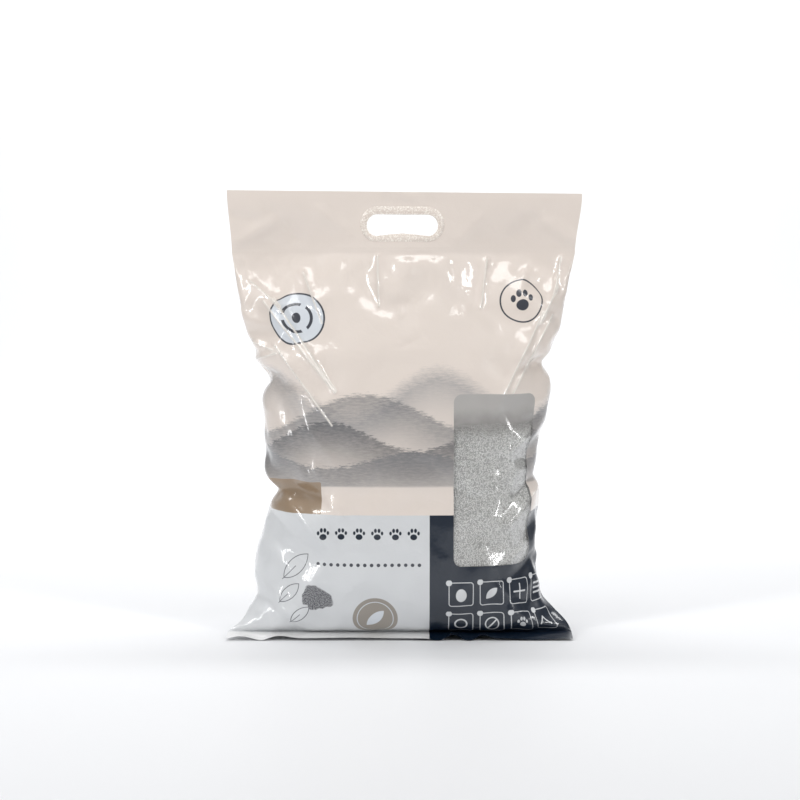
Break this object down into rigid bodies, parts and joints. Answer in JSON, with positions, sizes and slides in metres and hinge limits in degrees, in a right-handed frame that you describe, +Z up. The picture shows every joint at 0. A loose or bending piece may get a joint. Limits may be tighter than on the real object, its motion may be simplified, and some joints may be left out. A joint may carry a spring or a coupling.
{
  "type": "cat litter bag",
  "caption": "Filled pillow bag of printed film standing upright, with a flat welded header, a punched hand hole, a clear window onto the granules and a bottom fin.",
  "frame": {"origin": "on the flat base where the bag stands, in the middle plane of the header, midway across the film", "axes": "+X to the right seen from the front, -Y out of the front face that has the window, +Z up from the base to the header"},
  "size_m": [0.4002, 0.1647, 0.499],
  "materials": {
    "printed_film": "glossy printed film in pale beige, light grey blue and navy",
    "clear_film": "clear glossy film",
    "clay_granules": "matt pale grey granules about 2 mm across"
  },
  "bodies": {
    "root": {"film_bag": "printed_film", "clear_window": "clear_film", "litter": "clay_granules"}
  },
  "joints": []
}
